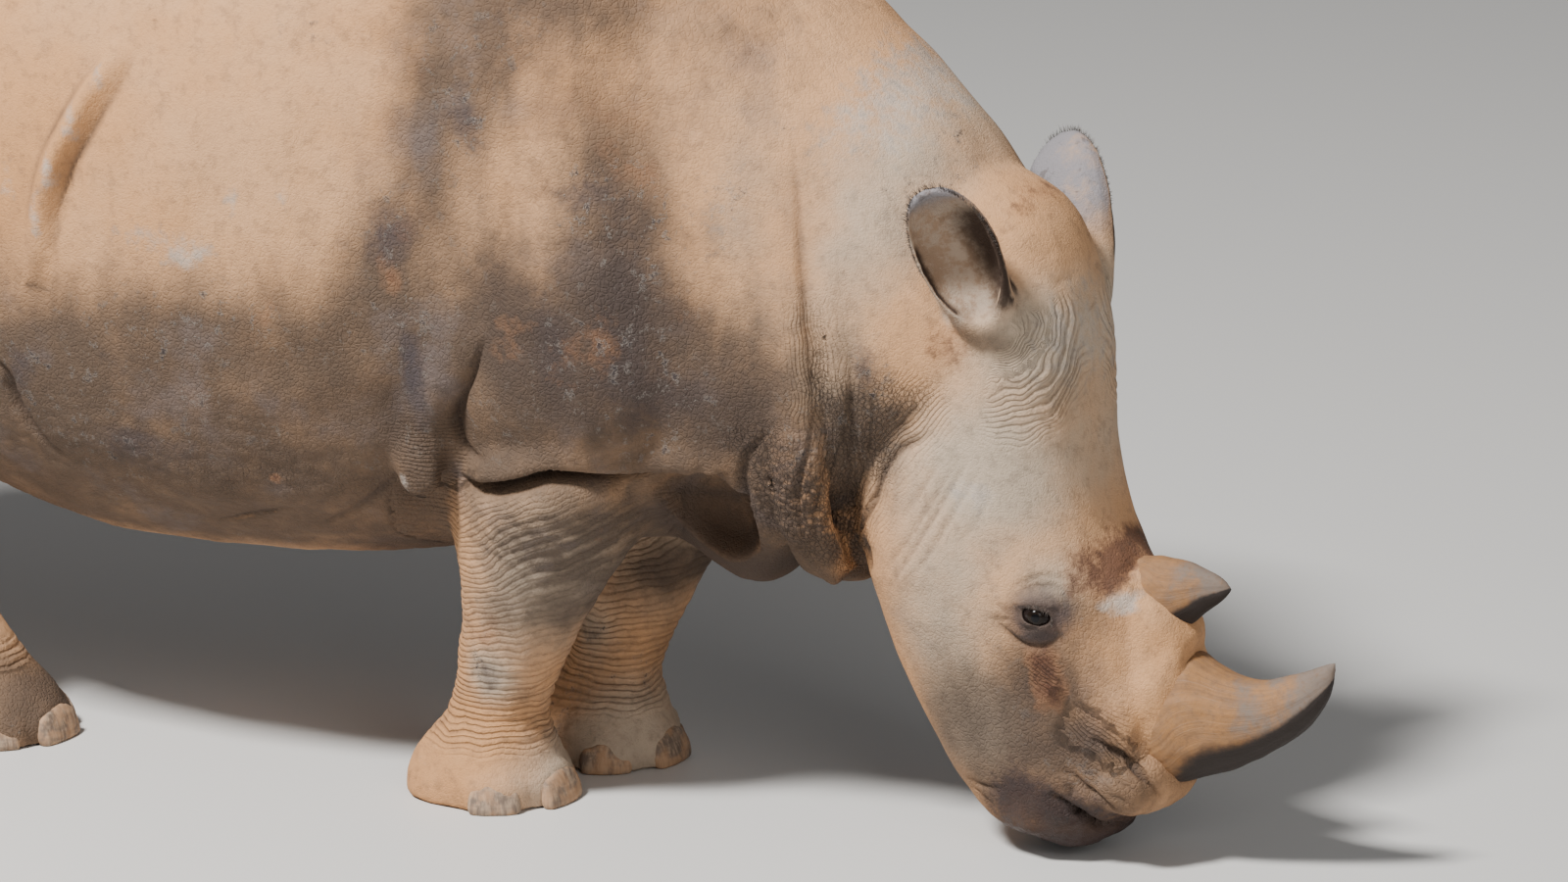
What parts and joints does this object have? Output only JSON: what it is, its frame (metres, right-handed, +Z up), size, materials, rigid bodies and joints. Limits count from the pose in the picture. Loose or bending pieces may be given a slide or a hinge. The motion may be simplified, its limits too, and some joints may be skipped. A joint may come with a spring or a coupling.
{
  "type": "white rhinoceros",
  "caption": "Life-size still model of a grazing white rhinoceros: head down, square lips close to the ground, right hind foot well forward.",
  "frame": {"origin": "on the ground under the middle of the animal's bounding box", "axes": "+X ahead, from the rump to the horns; +Y the animal's left; +Z up"},
  "size_m": [3.3608, 1.012, 1.6792],
  "materials": {
    "skin": "thick dry skin, wrinkled and dusted with sandy earth",
    "horn": "fibrous horn, worn darker along the outer edge",
    "eye": "wet and dark brown",
    "nail": "dull, dusty nail",
    "hair": "stiff dark bristles"
  },
  "bodies": {
    "root": {"ear_left": "skin", "ear_right": "skin", "eye_left": "eye", "eye_right": "eye", "foreleg_left": "skin", "foreleg_left_foot": "skin", "foreleg_left_nail_inner": "nail", "foreleg_left_nail_middle": "nail", "foreleg_left_nail_outer": "nail", "foreleg_right": "skin", "foreleg_right_foot": "skin", "foreleg_right_nail_inner": "nail", "foreleg_right_nail_middle": "nail", "foreleg_right_nail_outer": "nail", "head": "skin", "hindleg_left": "skin", "hindleg_left_foot": "skin", "hindleg_left_nail_inner": "nail", "hindleg_left_nail_middle": "nail", "hindleg_left_nail_outer": "nail", "hindleg_right": "skin", "hindleg_right_foot": "skin", "hindleg_right_nail_inner": "nail", "hindleg_right_nail_middle": "nail", "hindleg_right_nail_outer": "nail", "horn_front": "horn", "horn_rear": "horn", "neck": "skin", "tail": "skin", "tail_tuft": "hair", "torso": "skin"}
  },
  "joints": []
}
